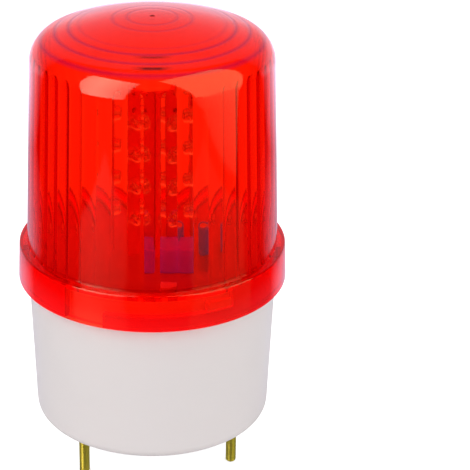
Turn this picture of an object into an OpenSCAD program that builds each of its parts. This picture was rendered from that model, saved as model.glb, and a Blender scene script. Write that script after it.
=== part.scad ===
// Flashing warning beacon: a red twist-lock lens over a white base cup, a column of LEDs
// on a round driver board inside, and three studs below to bolt it down.
// Millimetres. +Z is up, z = 0 is the underside of the base, and the front faces -Y.

/* [Lens] */
// Outside diameter of the skirt at its lower edge
skirt_d = 100; // [90:0.5:130]
// Height of the skirt
skirt_h = 13.9; // [12:0.1:20]
// Wall of the skirt outside the bayonet channel
skirt_wall = 2; // [1.5:0.1:3]
// Draft of the skirt's outside, in degrees
skirt_draft = 2.3; // [0.5:0.1:4]
// Radius along the skirt's top edge
skirt_edge_r = 2; // [0.5:0.1:2.4]
// How far the foot of the dome lies in from the skirt's lower edge
shoulder_w = 3.4; // [3:0.1:5]
// Thickness of the shoulder between skirt and dome
shoulder_t = 2.4; // [1.6:0.1:4]
// Height of the dome above the skirt
dome_h = 86.3; // [60:0.1:140]
// Draft of the dome's wall, in degrees
dome_draft = 2; // [0.5:0.1:4]
// Radius of the corner between the dome's wall and its crown
dome_corner_r = 10.2; // [6:0.1:16]
// Radius of the crown's curve
crown_r = 111.6; // [80:0.1:200]
// Wall of the dome
lens_wall = 2.3; // [1.8:0.1:3]
// Number of optical ribs down the inside of the dome
rib_count = 48; // [30:1:60]
// How far a rib stands in from the wall
rib_depth = 0.5; // [0.4:0.05:1]
// Width of the land between two ribs at the top of the wall
rib_land = 0.2; // [0.1:0.05:1]
// Distance of a rib's top below the start of the corner
rib_stop = 0.2; // [0.1:0.1:5]
// Diameters of the rings grooved in the crown
crown_ring_d = [17.9, 28.4, 59.6, 69.6]; // [10:0.1:70]
// Width of a groove
crown_ring_w = 1; // [0.6:0.1:2]
// Depth of a groove
crown_ring_t = 0.2; // [0.1:0.05:0.5]
// Diameter of the moulding gate's mark on the crown
gate_d = 1.8; // [1:0.1:3]
// Depth of the gate's mark
gate_t = 0.4; // [0.2:0.1:1]

/* [Twist lock] */
// Number of lugs round the neck of the base
lug_count = 3; // [2:1:4]
// Width of a lug, in degrees
lug_angle = 11.5; // [6:0.5:14]
// Place of the first lug, in degrees to the right of the front
lug_turn = 29.8; // [0:0.1:60]
// How far a lug stands out of the neck
lug_out = 2.4; // [1.5:0.1:4]
// Height of a lug
lug_h = 3; // [2:0.1:4]
// Height of the lip that locks under the lugs
lip_h = 5.1; // [3:0.1:6.5]
// Turn of the lens from locked to free, in degrees
twist = 63; // [40:1:64]
// Width of a slot where a lug enters, in degrees
entry_angle = 18.5; // [15:0.5:22]
// Play at each end of a lug's travel, in degrees
stop_gap = 0.7; // [0.3:0.1:2]
// Gap round the neck and the lugs
bayonet_gap = 0.4; // [0.3:0.05:0.8]
// Gap under the lens and under its lugs
seat_gap = 0.3; // [0.2:0.05:0.6]
// Gap between the rim of the neck and the lens
rim_gap = 0.4; // [0.3:0.05:1]

/* [Base] */
// Height of the base up to the shoulder under the lens
base_h = 55.6; // [35:0.1:90]
// How far the skirt stands out past the top of the base
base_inset = 3.75; // [2.5:0.05:4.5]
// Draft of the base's outside, in degrees
base_draft = 2.2; // [0.5:0.1:4]
// Radius along the bottom edge
base_edge_r = 4; // [1:0.1:6]
// Wall of the neck
neck_wall = 2.4; // [1.8:0.1:3.5]
// Wall of the base at its foot
foot_wall = 2.8; // [2:0.1:4]
// Thickness of the floor
base_floor = 3; // [2:0.1:5]
// Diameter of the cable hole in the floor
cable_hole_d = 8; // [5:0.5:12]
// Wall of the collar round the cable hole
collar_wall = 2.5; // [1.5:0.1:4]
// Height of the collar above the floor
collar_h = 4; // [2:0.5:10]

/* [Mounting studs] */
// Number of studs
stud_count = 3; // [3:1:4]
// Thread diameter of a stud
stud_d = 4; // [3:0.5:6]
// Diameter of the circle that the studs stand on
stud_pcd = 65.4; // [50:0.1:72]
// Place of the first stud, in degrees to the right of the front
stud_turn = 67.8; // [0:0.1:119]
// How far a stud stands out below the base
stud_out = 19.6; // [10:0.1:40]
// Height of the seat under a stud's head above the underside
stud_seat = 5.4; // [3:0.1:10]
// Diameter of the plain shank inside the base
shank_d = 3.6; // [2.6:0.1:5]
// Width of the hexagon head across its flats
stud_head_w = 7; // [5.5:0.5:10]
// Height of the head
stud_head_h = 2.8; // [2:0.1:4]
// Chamfer at the end of a stud
stud_chamfer = 0.5; // [0.2:0.1:0.8]
// Gap round a stud and its head
stud_gap = 0.1; // [0.05:0.05:0.4]
// Wall of the boss round a head
boss_wall = 2; // [1.2:0.1:4]

/* [Main board] */
// Thickness of a circuit board
board_t = 1.6; // [1:0.1:2]
// Gap between the main board and the neck
board_gap = 1.3; // [0.5:0.1:3]
// Depth of the main board's top below the rim of the neck
board_drop = 0.9; // [0.3:0.1:3]
// Distance of the screws from the main board's edge
screw_edge = 5; // [4:0.5:8]
// Number of board screws
screw_count = 3; // [3:1:4]
// Thread diameter of a board screw
screw_d = 2.9; // [2:0.1:3.5]
// Length of a board screw under its head
screw_l = 9; // [6:0.5:16]
// Diameter of a screw's head
screw_head_d = 5.4; // [4:0.1:7]
// Height of a screw's head
screw_head_h = 2; // [1.2:0.1:3]
// Gap round a screw in the board
screw_gap = 0.2; // [0.1:0.05:0.5]
// Depth that the thread cuts into the post
thread_bite = 0.2; // [0.1:0.05:0.4]
// Wall of a post round its screw
post_wall = 2.2; // [1.5:0.1:4]
// Thickness of the web that ties a post to the wall
post_web = 1.6; // [1:0.1:3]

/* [LED column] */
// Width of the six-sided column of boards, across its flat sides
column_w = 16.6; // [15:0.1:20]
// Turn of the column's first side, in degrees to the right of the front
column_turn = 23; // [0:0.1:60]
// Gap at each corner of the column
column_joint = 0.4; // [0.2:0.1:0.8]
// Height by which the two back sides are lower than the others
column_back_drop = 7; // [0:0.1:7]
// Room between the column and the crown
column_clear = 23.5; // [8:0.1:40]
// Rows of LEDs
led_rows = 4; // [2:1:5]
// Diameter of an LED
led_d = 5; // [3:0.5:5]
// Length of an LED
led_l = 5.5; // [5:0.1:10]
// Width of an LED's flange past its body
led_flange_w = 0.4; // [0.2:0.1:0.6]
// Thickness of an LED's flange
led_flange_t = 1; // [0.5:0.1:1.5]
// Height of the lowest LED above the main board
led_foot = 15.5; // [8:0.1:20]
// Distance of the highest LED from the column's top
led_head = 11.2; // [11:0.1:20]
// Diameter of the hole near the top of an LED board
board_hole_d = 2; // [1:0.1:3]
// Distance of that hole from the column's top
board_hole_drop = 7.2; // [3:0.1:8]

/* [Driver parts] */
// Width, depth and height of the film capacitor
film_size = [15.5, 11.5, 8.4]; // [4:0.1:24]
// Radius of the film capacitor's upright edges
film_edge_r = 0.8; // [0.3:0.1:2]
// Gap between the film capacitor and the column behind it
film_gap = 1.9; // [0.4:0.1:3]
// Distance of the film capacitor to the right of the middle
film_x = 7.3; // [-10:0.1:12]
// Diameter and height of the bulk capacitor
bulk_size = [7, 11]; // [4:0.1:12]
// Diameter and height of the timing capacitor
timing_size = [5, 11]; // [4:0.1:12]
// Depth of the groove rolled round a capacitor's can
can_groove = 0.4; // [0.2:0.1:0.8]
// Length, width and height of the rectifier
rectifier_size = [8.3, 6.4, 3.3]; // [2:0.1:12]
// Length, width and height of the controller chip
chip_size = [9.4, 6.4, 3.3]; // [2:0.1:12]
// Pins on each side of the controller chip
chip_pins = 4; // [3:1:4]
// Pitch of the pins
pin_pitch = 2.54; // [2:0.01:3]
// Width and thickness of a pin
pin_size = [0.8, 0.4]; // [0.2:0.1:1.2]
// Gap between a part's body and the board, on its pins
pin_lift = 0.8; // [0.4:0.1:2]
// Diameter and length of the resistor
resistor_size = [3.4, 9]; // [2:0.1:14]
// Diameter of the resistor's wire
wire_d = 0.8; // [0.5:0.1:1]
// Diameter and height of a transistor
transistor_size = [4.8, 4.6]; // [3:0.1:6]
// Gap between a transistor and the board, on its legs
transistor_lift = 3; // [1:0.1:6]

/* [Hidden] */
$fn = 96;
// A cut runs this far past the face it opens
over = 1;
// Angle of the front, from +X
front = -90;

// Twist lock: the neck, its lugs and the channel that they run in
skirt_r = skirt_d / 2;
channel_r = skirt_r - skirt_wall;
neck_r = channel_r - bayonet_gap - lug_out;
neck_bore_r = neck_r + bayonet_gap;
skirt_z = base_h + seat_gap;
dome_z = skirt_z + skirt_h;
step_z = dome_z - shoulder_t;
lip_z = skirt_z + lip_h;
lug_z = lip_z + seat_gap;
rim_z = step_z - rim_gap;
lug_start = lug_turn - lug_angle / 2;
channel_start = lug_start - twist - stop_gap;
channel_angle = twist + lug_angle + 2 * stop_gap;

// Dome: a drafted wall, a corner arc that is tangent to it, and a crown tangent to the arc
dome_r = skirt_r - shoulder_w;
apex_z = dome_z + dome_h;
crown_z = apex_z - crown_r;
draft_t = tan(dome_draft);
corner_base = dome_r - dome_corner_r / cos(dome_draft) + dome_z * draft_t;
corner_reach = crown_r - dome_corner_r;
corner_b = corner_base * draft_t + crown_z;
corner_c = corner_base * corner_base + crown_z * crown_z - corner_reach * corner_reach;
corner_k = 1 + draft_t * draft_t;
corner_z = (corner_b + sqrt(corner_b * corner_b - corner_k * corner_c)) / corner_k;
corner_x = corner_base - corner_z * draft_t;
corner_lean = atan2(corner_z - crown_z, corner_x);

// Ribs: a rib fills its pitch at the top of the wall, less the land
rib_pitch = 360 / rib_count;
wall_top_r = corner_x + (dome_corner_r - lens_wall) * cos(dome_draft);
rib_chord = 2 * wall_top_r * sin(rib_pitch / 2) - rib_land;
rib_rise = rib_depth - wall_top_r + sqrt(wall_top_r * wall_top_r - rib_chord * rib_chord / 4);
rib_r = (rib_chord * rib_chord / 4 + rib_rise * rib_rise) / (2 * rib_rise);

// Base: its outside and its core
base_top_r = skirt_r - base_inset;
base_t = tan(base_draft);
base_foot_r = base_top_r - base_h * base_t;
base_edge_x = base_foot_r + base_edge_r * base_t - base_edge_r / cos(base_draft);
core_top_r = neck_r - neck_wall;
core_foot_r = base_foot_r - foot_wall;

// Studs: their heads sit in bosses on the floor
boss_h = stud_seat + stud_head_h;
stud_head_r = stud_head_w / 2 / cos(30);
boss_r = stud_head_r + stud_gap + boss_wall;

// Boards, from the rim of the neck down and up
board_r = core_top_r - board_gap;
board_top_z = rim_z - board_drop;
board_z = board_top_z - board_t;
screw_r = board_r - screw_edge;
screw_turn = stud_turn + 180 / stud_count;
pilot_r = screw_d / 2 - thread_bite;
post_r = screw_d / 2 + post_wall;
column_h = apex_z - lens_wall - column_clear - board_top_z;
led_pitch = (column_h - led_foot - led_head) / (led_rows - 1);
column_sides = 6;
column_corner_r = column_w / 2 / cos(180 / column_sides);

// Places of the driver parts on the main board and, from the timing capacitor on, under it
film_place = [film_x, -column_corner_r - film_gap - film_size[1] / 2];
bulk_place = [16.5, -4.5];
timing_place = [-20, 14];
rectifier_place = [12, 10];
chip_place = [-22, -6];
resistor_place = [2, 25];
transistor_place = [-8, 24];
transistor_step = [-9, -2];

// One child at each of count places round the axis, the first at an angle from the front
module ring_of(count, angle) {
    for (k = [0 : count - 1]) {
        rotate([0, 0, front + angle + 360 * k / count]) children();
    }
}

// A block of a ring: from radius r0 to r1 and height z0 to z1, over an angle
module ring_block(r0, r1, z0, z1, angle) {
    rotate_extrude(angle = angle) translate([r0, z0]) square([r1 - r0, z1 - z0]);
}

// A rectangle with round corners, centred
module rounded_rect(w, d, r) {
    square([w - 2 * r, d], center = true);
    square([w, d - 2 * r], center = true);
    for (x = [-1, 1], y = [-1, 1]) {
        translate([x * (w / 2 - r), y * (d / 2 - r)]) circle(r);
    }
}

// Half outline of the dome, set in from its outside by a wall, from a height to the crown
module dome_outline(inset, z_low) {
    foot_r = dome_r - inset / cos(dome_draft) + (dome_z - z_low) * draft_t;
    corner = [corner_x, corner_z];
    arc_r = dome_corner_r - inset;
    arc_start = corner + arc_r * [cos(dome_draft), sin(dome_draft)];
    arc_end = corner + arc_r * [cos(corner_lean), sin(corner_lean)];
    polygon([[0, z_low], [foot_r, z_low], arc_start, corner, arc_end, [0, arc_end[1]]]);
    intersection() {
        translate(corner) circle(arc_r);
        polygon([corner, arc_start, arc_start + [over, dome_corner_r], arc_end]);
    }
    intersection() {
        translate([0, crown_z]) circle(crown_r - inset);
        translate([0, arc_end[1]]) square([arc_end[0], crown_r]);
    }
}

// Half outline of the skirt, with its top edge rounded
module skirt_outline() {
    lean = [cos(skirt_draft), sin(skirt_draft)];
    side_x = skirt_r - (skirt_h - skirt_edge_r) * tan(skirt_draft);
    edge = [side_x - skirt_edge_r / lean[0], dome_z - skirt_edge_r];
    polygon([[0, skirt_z], [skirt_r, skirt_z], edge + skirt_edge_r * lean, edge,
        [edge[0], dome_z], [0, dome_z]]);
    translate(edge) circle(skirt_edge_r);
}

// A rib along the wall: the inner side of a rod that leans in with the draft, as wide as its pitch
module rib_bar() {
    crest_r = dome_r - lens_wall / cos(dome_draft) - rib_depth;
    width = rib_chord + rib_land / 2;
    z_low = step_z - dome_z - over;
    z_high = corner_z - dome_z - rib_stop;
    translate([crest_r, 0, dome_z]) rotate([0, -dome_draft, 0]) translate([0, 0, z_low])
        linear_extrude((z_high - z_low) / cos(dome_draft)) intersection() {
            translate([rib_r, 0]) circle(rib_r);
            translate([-over, -width / 2]) square([rib_depth + 2 * over, width]);
        }
}

// Shallow grooves round the crown, each as deep below its outside all across
module crown_rings() {
    for (d = crown_ring_d) {
        translate([0, 0, crown_z]) rotate_extrude() difference() {
            translate([(d - crown_ring_w) / 2, 0]) square([crown_ring_w, crown_r + over]);
            circle(crown_r - crown_ring_t);
        }
    }
}

module lens() {
    color("red", 0.6) difference() {
        rotate_extrude() {
            dome_outline(0, dome_z - over);
            skirt_outline();
        }
        difference() {
            rotate_extrude() dome_outline(lens_wall, step_z - over);
            ring_of(rib_count, 0) rib_bar();
        }
        crown_rings();
        translate([0, 0, skirt_z - over]) cylinder(r = neck_bore_r, h = step_z - skirt_z + over);
        ring_of(lug_count, channel_start) ring_block(neck_r, channel_r, lip_z, step_z, channel_angle);
        ring_of(lug_count, channel_start)
            ring_block(neck_r, channel_r, skirt_z - over, lip_z + over, entry_angle);
        translate([0, 0, apex_z - gate_t]) cylinder(d = gate_d, h = over);
    }
}

// Half outline of the base, filled, up to the rim of the neck
module base_outline() {
    edge = [base_edge_x, base_edge_r];
    side = edge + base_edge_r * [cos(base_draft), -sin(base_draft)];
    polygon([[0, 0], [base_edge_x, 0], edge, side, [base_top_r, base_h], [neck_r, base_h],
        [neck_r, rim_z], [0, rim_z]]);
    translate(edge) circle(base_edge_r);
}

// A post for a board screw, tied to the wall by a web
module post() {
    translate([screw_r, 0, 0]) cylinder(r = post_r, h = board_z);
    web_w = post_r + neck_r - screw_r;
    translate([screw_r, -post_web / 2, 0]) cube([web_w, post_web, board_z - screw_l / 2]);
}

// The core that hollows the base, or with a wall added, what its posts are trimmed to
module base_core(added) {
    translate([0, 0, base_floor - added])
        cylinder(r1 = core_foot_r + added, r2 = core_top_r + added, h = rim_z - base_floor + added);
}

module base() {
    color("whitesmoke") difference() {
        union() {
            difference() {
                rotate_extrude() base_outline();
                base_core(0);
            }
            cylinder(d = cable_hole_d + 2 * collar_wall, h = base_floor + collar_h);
            ring_of(stud_count, stud_turn)
                translate([stud_pcd / 2, 0, 0]) cylinder(r = boss_r, h = boss_h);
            intersection() {
                base_core(base_floor / 2);
                ring_of(screw_count, screw_turn) post();
            }
            ring_of(lug_count, lug_start)
                ring_block(neck_r - neck_wall / 2, neck_r + lug_out, lug_z, lug_z + lug_h, lug_angle);
        }
        translate([0, 0, -over]) cylinder(d = cable_hole_d, h = base_floor + collar_h + 2 * over);
        ring_of(stud_count, stud_turn) translate([stud_pcd / 2, 0, 0]) {
            translate([0, 0, -over]) cylinder(d = stud_d + 2 * stud_gap, h = boss_h);
            translate([0, 0, stud_seat]) cylinder(r = stud_head_r + stud_gap, h = boss_h, $fn = 6);
        }
        ring_of(screw_count, screw_turn)
            translate([screw_r, 0, board_z - screw_l]) cylinder(r = pilot_r, h = screw_l + over);
    }
}

module mounting_studs() {
    color("darkkhaki") ring_of(stud_count, stud_turn) translate([stud_pcd / 2, 0, 0]) {
        translate([0, 0, stud_seat]) cylinder(r = stud_head_r, h = stud_head_h, $fn = 6);
        cylinder(d = shank_d, h = stud_seat);
        translate([0, 0, stud_chamfer - stud_out]) cylinder(d = stud_d, h = stud_out - stud_chamfer);
        translate([0, 0, -stud_out])
            cylinder(d1 = stud_d - 2 * stud_chamfer, d2 = stud_d, h = stud_chamfer);
    }
}

module main_board() {
    color("burlywood") difference() {
        translate([0, 0, board_z]) cylinder(r = board_r, h = board_t);
        ring_of(screw_count, screw_turn) translate([screw_r, 0, board_z - over])
            cylinder(d = screw_d + 2 * screw_gap, h = board_t + 2 * over);
    }
}

module board_screws() {
    color("silver") ring_of(screw_count, screw_turn) translate([screw_r, 0, board_top_z]) {
        cylinder(d = screw_head_d, h = screw_head_h);
        translate([0, 0, over - screw_l]) cylinder(d = screw_d, h = screw_l - over);
        translate([0, 0, -screw_l]) cylinder(d1 = screw_d / 2, d2 = screw_d, h = over);
    }
}

// Turns its children to one side of the LED column, outwards along -Y
module column_side(side) {
    rotate([0, 0, column_turn + 360 / column_sides * side])
        translate([0, -column_w / 2, board_top_z]) children();
}

// One side of the column, mitred towards the next
module led_board(side) {
    half = column_w / 2 * tan(180 / column_sides) - column_joint / 2;
    inner = half - board_t * tan(180 / column_sides);
    side_h = side == 2 || side == 3 ? column_h - column_back_drop : column_h;
    color("tan") column_side(side) difference() {
        linear_extrude(side_h) polygon([[-half, 0], [half, 0], [inner, board_t], [-inner, board_t]]);
        if (side_h == column_h) translate([0, -over, column_h - board_hole_drop]) rotate([-90, 0, 0])
            cylinder(d = board_hole_d, h = board_t + 2 * over);
    }
}

// An LED along +Z: flange, body and domed tip
module led() {
    cylinder(d = led_d + 2 * led_flange_w, h = led_flange_t);
    cylinder(d = led_d, h = led_l - led_d / 2);
    translate([0, 0, led_l - led_d / 2]) sphere(d = led_d);
}

module led_row(side) {
    color("mistyrose") column_side(side) for (row = [0 : led_rows - 1]) {
        translate([0, 0, led_foot + row * led_pitch]) rotate([90, 0, 0]) led();
    }
}

module led_board_front_right() { led_board(0); }
module led_board_right() { led_board(1); }
module led_board_back_right() { led_board(2); }
module led_board_back_left() { led_board(3); }
module led_board_left() { led_board(4); }
module led_board_front_left() { led_board(5); }
module leds_front_right() { led_row(0); }
module leds_right() { led_row(1); }
module leds_back_right() { led_row(2); }
module leds_back_left() { led_row(3); }
module leds_left() { led_row(4); }
module leds_front_left() { led_row(5); }

// Puts a part on the main board
module on_board(place) {
    translate([place[0], place[1], board_top_z]) children();
}

// Hangs a part under the main board
module under_board(place) {
    translate([place[0], place[1], board_z]) rotate([180, 0, 0]) children();
}

module film_capacitor() {
    color("slateblue") on_board(film_place) linear_extrude(film_size[2])
        rounded_rect(film_size[0], film_size[1], film_edge_r);
}

// An upright can with a groove rolled round it near its foot
module can(size) {
    difference() {
        cylinder(d = size[0], h = size[1]);
        translate([0, 0, 4 * can_groove])
            rotate_extrude() translate([size[0] / 2, 0]) circle(can_groove);
    }
}

module bulk_capacitor() {
    color("dimgray") on_board(bulk_place) can(bulk_size);
}

module timing_capacitor() {
    color("dimgray") under_board(timing_place) can(timing_size);
}

// A block on two rows of pins
module pinned_block(size, pins) {
    translate([-size[0] / 2, -size[1] / 2, pin_lift]) cube(size);
    for (k = [0 : pins - 1], y = [-1, 1]) {
        translate([(k - (pins - 1) / 2) * pin_pitch - pin_size[0] / 2,
            y * size[1] / 2 - pin_size[1] / 2, 0])
            cube([pin_size[0], pin_size[1], pin_lift + size[2] / 2]);
    }
}

module rectifier() {
    color("black") under_board(rectifier_place) pinned_block(rectifier_size, 2);
}

module controller_chip() {
    color("black") under_board(chip_place) rotate([0, 0, 90]) pinned_block(chip_size, chip_pins);
}

module dropper_resistor() {
    body_z = resistor_size[0] / 2;
    reach = resistor_size[1] / 2 + wire_d;
    color("tan") under_board(resistor_place) {
        translate([-resistor_size[1] / 2, 0, body_z]) rotate([0, 90, 0])
            cylinder(d = resistor_size[0], h = resistor_size[1]);
        translate([-reach, 0, body_z]) rotate([0, 90, 0]) cylinder(d = wire_d, h = 2 * reach);
        for (x = [-reach, reach]) {
            translate([x, 0, 0]) cylinder(d = wire_d, h = body_z);
            translate([x, 0, body_z]) sphere(d = wire_d);
        }
    }
}

// A transistor on three legs: a round back and a flat face
module transistor() {
    r = transistor_size[0] / 2;
    translate([0, 0, transistor_lift]) intersection() {
        cylinder(r = r, h = transistor_size[1]);
        translate([-r, -r / 2, 0]) cube([2 * r, 2 * r, transistor_size[1]]);
    }
    for (x = [-1, 0, 1]) {
        translate([x * pin_pitch / 2 - pin_size[1] / 2, -pin_size[1] / 2, 0])
            cube([pin_size[1], pin_size[1], transistor_lift + transistor_size[1] / 2]);
    }
}

module driver_transistors() {
    color("black") for (k = [0, 1]) {
        under_board(transistor_place + k * transistor_step) transistor();
    }
}

lens();
base();
mounting_studs();
main_board();
board_screws();
led_board_front_right();
led_board_right();
led_board_back_right();
led_board_back_left();
led_board_left();
led_board_front_left();
leds_front_right();
leds_right();
leds_back_right();
leds_back_left();
leds_left();
leds_front_left();
film_capacitor();
bulk_capacitor();
timing_capacitor();
rectifier();
controller_chip();
dropper_resistor();
driver_transistors();
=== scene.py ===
# %% [markdown]
# # A flashing warning beacon
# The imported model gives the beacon's solids in metres, standing on z = 0 with the front towards -Y.
# This lesson dresses them, from a clear red lens whose ribs bend the light to the parts of the
# driver. A solid that already has the right shape could be modelled again, but keeping it is safer:
# the cup, the boards and the small parts stay and only get a finish. The lens, the studs, the LEDs
# and the capacitors have detail that their solids lack, so meshes made here stand in for them.

# %% Load the frame
import math

import bmesh
import bpy
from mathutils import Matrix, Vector


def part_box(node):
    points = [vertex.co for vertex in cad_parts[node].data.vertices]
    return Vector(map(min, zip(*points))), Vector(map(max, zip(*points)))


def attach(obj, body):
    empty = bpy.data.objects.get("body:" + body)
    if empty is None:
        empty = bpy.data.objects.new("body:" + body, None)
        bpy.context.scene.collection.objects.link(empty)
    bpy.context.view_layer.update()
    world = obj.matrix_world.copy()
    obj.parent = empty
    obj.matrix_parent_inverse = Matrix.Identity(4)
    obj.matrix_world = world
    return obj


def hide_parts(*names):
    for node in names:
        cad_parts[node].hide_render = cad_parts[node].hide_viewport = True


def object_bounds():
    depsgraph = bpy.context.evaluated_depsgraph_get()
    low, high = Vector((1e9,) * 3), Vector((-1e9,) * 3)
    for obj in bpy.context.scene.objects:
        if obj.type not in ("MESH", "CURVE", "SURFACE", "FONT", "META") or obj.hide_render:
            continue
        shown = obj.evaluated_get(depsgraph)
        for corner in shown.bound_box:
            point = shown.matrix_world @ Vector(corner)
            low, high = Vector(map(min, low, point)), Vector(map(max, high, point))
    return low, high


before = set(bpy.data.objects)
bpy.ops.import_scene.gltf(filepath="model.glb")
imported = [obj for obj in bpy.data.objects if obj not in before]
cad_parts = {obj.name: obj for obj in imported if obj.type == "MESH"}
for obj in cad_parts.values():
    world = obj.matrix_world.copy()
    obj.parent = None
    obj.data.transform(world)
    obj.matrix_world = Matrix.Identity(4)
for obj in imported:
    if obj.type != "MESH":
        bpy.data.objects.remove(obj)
cad_low, cad_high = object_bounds()
MM = 0.001
print("CAD box in mm:", [round(v / MM, 1) for v in (*cad_low, *cad_high)])

# %% [markdown]
# ## The camera
# The beacon is seen from a little above, through a long lens that keeps upright lines nearly
# parallel. A camera could be placed by eye, but one fitted to the beacon's outline puts every edge
# where it belongs: 691 mm away and 24.4 degrees up. The beacon isn't in the middle of the picture.
# Turning the camera would tilt it, so the shift slides the picture instead, as a view camera does.

# %% Place the camera
PICTURE = 470
AXIS_X, AIM_Y = 152.3, 211.77  # where the beacon's axis and the aim fall in the picture, in pixels
CAMERA_FAR, CAMERA_UP = 0.69054, math.radians(24.401)
AIM = Vector((0, 0, 0.080))
camera_data = bpy.data.cameras.new("camera")
camera_data.sensor_width = 36
camera_data.lens = 142.72
camera_data.shift_x = (PICTURE / 2 - AXIS_X) / PICTURE
camera_data.shift_y = (AIM_Y - PICTURE / 2) / PICTURE
camera_data.clip_end = 20
camera = bpy.data.objects.new("camera", camera_data)
bpy.context.scene.collection.objects.link(camera)
camera.location = AIM + CAMERA_FAR * Vector((0, -math.cos(CAMERA_UP), math.sin(CAMERA_UP)))
camera.rotation_euler = (math.pi / 2 - CAMERA_UP, 0, 0)
bpy.context.scene.camera = camera
print("camera at", [round(v, 3) for v in camera.location])

# %% [markdown]
# ## Shader sums
# A finish is a web of nodes. It could be linked node by node, but sums are easier to read than
# links. One small class holds a node's output and turns +, -, *, / and abs into Math nodes. A second
# class stands for the material, and every other node comes from one method of it. Colours and
# directions go through Mix and Vector Math, because a Math node would turn a colour grey.

# %% A socket that Python can calculate with
class Link:
    """The output of a node: sums with it add Math nodes to its material."""

    def __init__(self, look, socket):
        self.look, self.socket = look, socket

    def math(self, operation, *inputs):
        sockets = dict(enumerate((self, *inputs)))
        return self.look.node("Math", {"operation": operation}, sockets)

    def __add__(self, b): return self.math("ADD", b)
    def __sub__(self, b): return self.math("SUBTRACT", b)
    def __mul__(self, b): return self.math("MULTIPLY", b)
    def __truediv__(self, b): return self.math("DIVIDE", b)
    def __rsub__(self, b): return self * -1 + b
    def __rtruediv__(self, b): return self.math("POWER", -1) * b
    def __abs__(self): return self.math("ABSOLUTE")
    __radd__, __rmul__ = __add__, __mul__

    def above(self, b): return self.math("GREATER_THAN", b)
    def below(self, b): return self.math("LESS_THAN", b)
    def at_least(self, b): return self.math("MAXIMUM", b)
    def at_most(self, b): return self.math("MINIMUM", b)
    def clip(self): return self.look.node("Clamp", {}, {"Value": self})


print("sums with a", Link.__name__, "become Math nodes")

# %% A material while its nodes are made
class Look:
    """A material, a lamp or the world, while its nodes are made."""

    def __init__(self, owner):
        owner.use_nodes = True
        self.owner, self.tree = owner, owner.node_tree
        self.tree.nodes.clear()

    def node(self, kind, settings, sockets, out=0):
        """Any node: its settings come first, then the values or links of its sockets."""
        node = self.tree.nodes.new("ShaderNode" + kind)
        for name, value in settings.items():
            if name == "stops":
                ramp = node.color_ramp.elements
                while len(ramp) < len(value):
                    ramp.new(1)
                for stop, (place, colour) in zip(ramp, value):
                    stop.position, stop.color = place, (*colour, 1)
            else:
                setattr(node, name, value)
        for name, value in sockets.items():
            socket = node.inputs[name]
            if isinstance(value, Link):
                self.tree.links.new(value.socket, socket)
            elif socket.type == "RGBA":
                socket.default_value = (*value, 1)
            else:
                socket.default_value = value
        return Link(self, node.outputs[out]) if node.outputs else None

    def place(self):
        return self.node("TexCoord", {}, {}, "Object")

    def along(self, axis, vector=None):
        """One number of a vector, or of the place on the piece: its X, Y or Z."""
        return self.node("SeparateXYZ", {}, {"Vector": vector or self.place()}, axis)

    def ray(self, kind):
        """1 for one kind of ray, such as Camera or Glossy, and 0 for the others."""
        return self.node("LightPath", {}, {}, "Is " + kind + " Ray")

    def noise(self, scale, detail=2.0):
        return self.node("TexNoise", {}, {"Vector": self.place(), "Scale": scale, "Detail": detail})

    def mix(self, share, a, b):
        return self.node("Mix", {"data_type": "RGBA"}, {0: share, 6: a, 7: b}, 2)

    def tint(self, colour, share):
        return self.node("VectorMath", {"operation": "SCALE"}, {0: colour, "Scale": share})

    def bump(self, height, strength, depth_mm):
        sockets = {"Height": height, "Strength": strength, "Distance": depth_mm * MM}
        return self.node("Bump", {}, sockets)

    def plastic(self, **sockets):
        named = {name.replace("_", " "): value for name, value in sockets.items()}
        return self.node("BsdfPrincipled", {}, named)

    def surface(self, shader, **more):
        """Ends the nodes with an output, and returns what they were made for."""
        lamp = isinstance(self.owner, bpy.types.Light)
        kind = "Light" if lamp else type(self.owner).__name__
        self.node("Output" + kind, {}, {"Surface": shader, **more})
        print(self.owner.name, "has", len(self.tree.nodes), "nodes")
        return self.owner


def new_look(name):
    return Look(bpy.data.materials.new(name))


print("every other node comes from", Look.node.__qualname__)

# %% [markdown]
# ## Turned shapes
# Nearly every piece here was turned or moulded round an axis. Such a shape could come from a Screw
# modifier, but ribs, threads and slots break the round, so the points are worked out in Python. A
# section is a line of (radius, height) points in millimetres. Rings of points along that line are
# joined by quads and welded, so that each piece is one closed mesh.

# %% Points and rings
def arc(middle, radius, start, end, steps):
    """Points of an arc in a section, its angles in degrees from the outward level."""
    turns = [math.radians(start + (end - start) * s / steps) for s in range(steps + 1)]
    return [(middle[0] + radius * math.cos(a), middle[1] + radius * math.sin(a)) for a in turns]


def at(radius, turn, height):
    """A point at an angle to the right of the front: millimetres and degrees in, metres out."""
    a = math.radians(turn)
    return Vector((radius * math.sin(a), -radius * math.cos(a), height)) * MM


def join(bm, a, b):
    """Quads between two rings with as many points each."""
    for k in range(len(a)):
        n = (k + 1) % len(a)
        bm.faces.new((a[k], a[n], b[n], b[k]))


def cap(bm, ring, middle):
    """Triangles from a ring to a point on the axis."""
    tip = bm.verts.new(middle)
    for k in range(len(ring)):
        bm.faces.new((ring[k], ring[(k + 1) % len(ring)], tip))


print("50 mm out, 90 degrees to the right:", [round(v, 3) for v in at(50, 90, 0)])

# %% Pieces of the beacon
WELD = 1e-7


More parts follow.
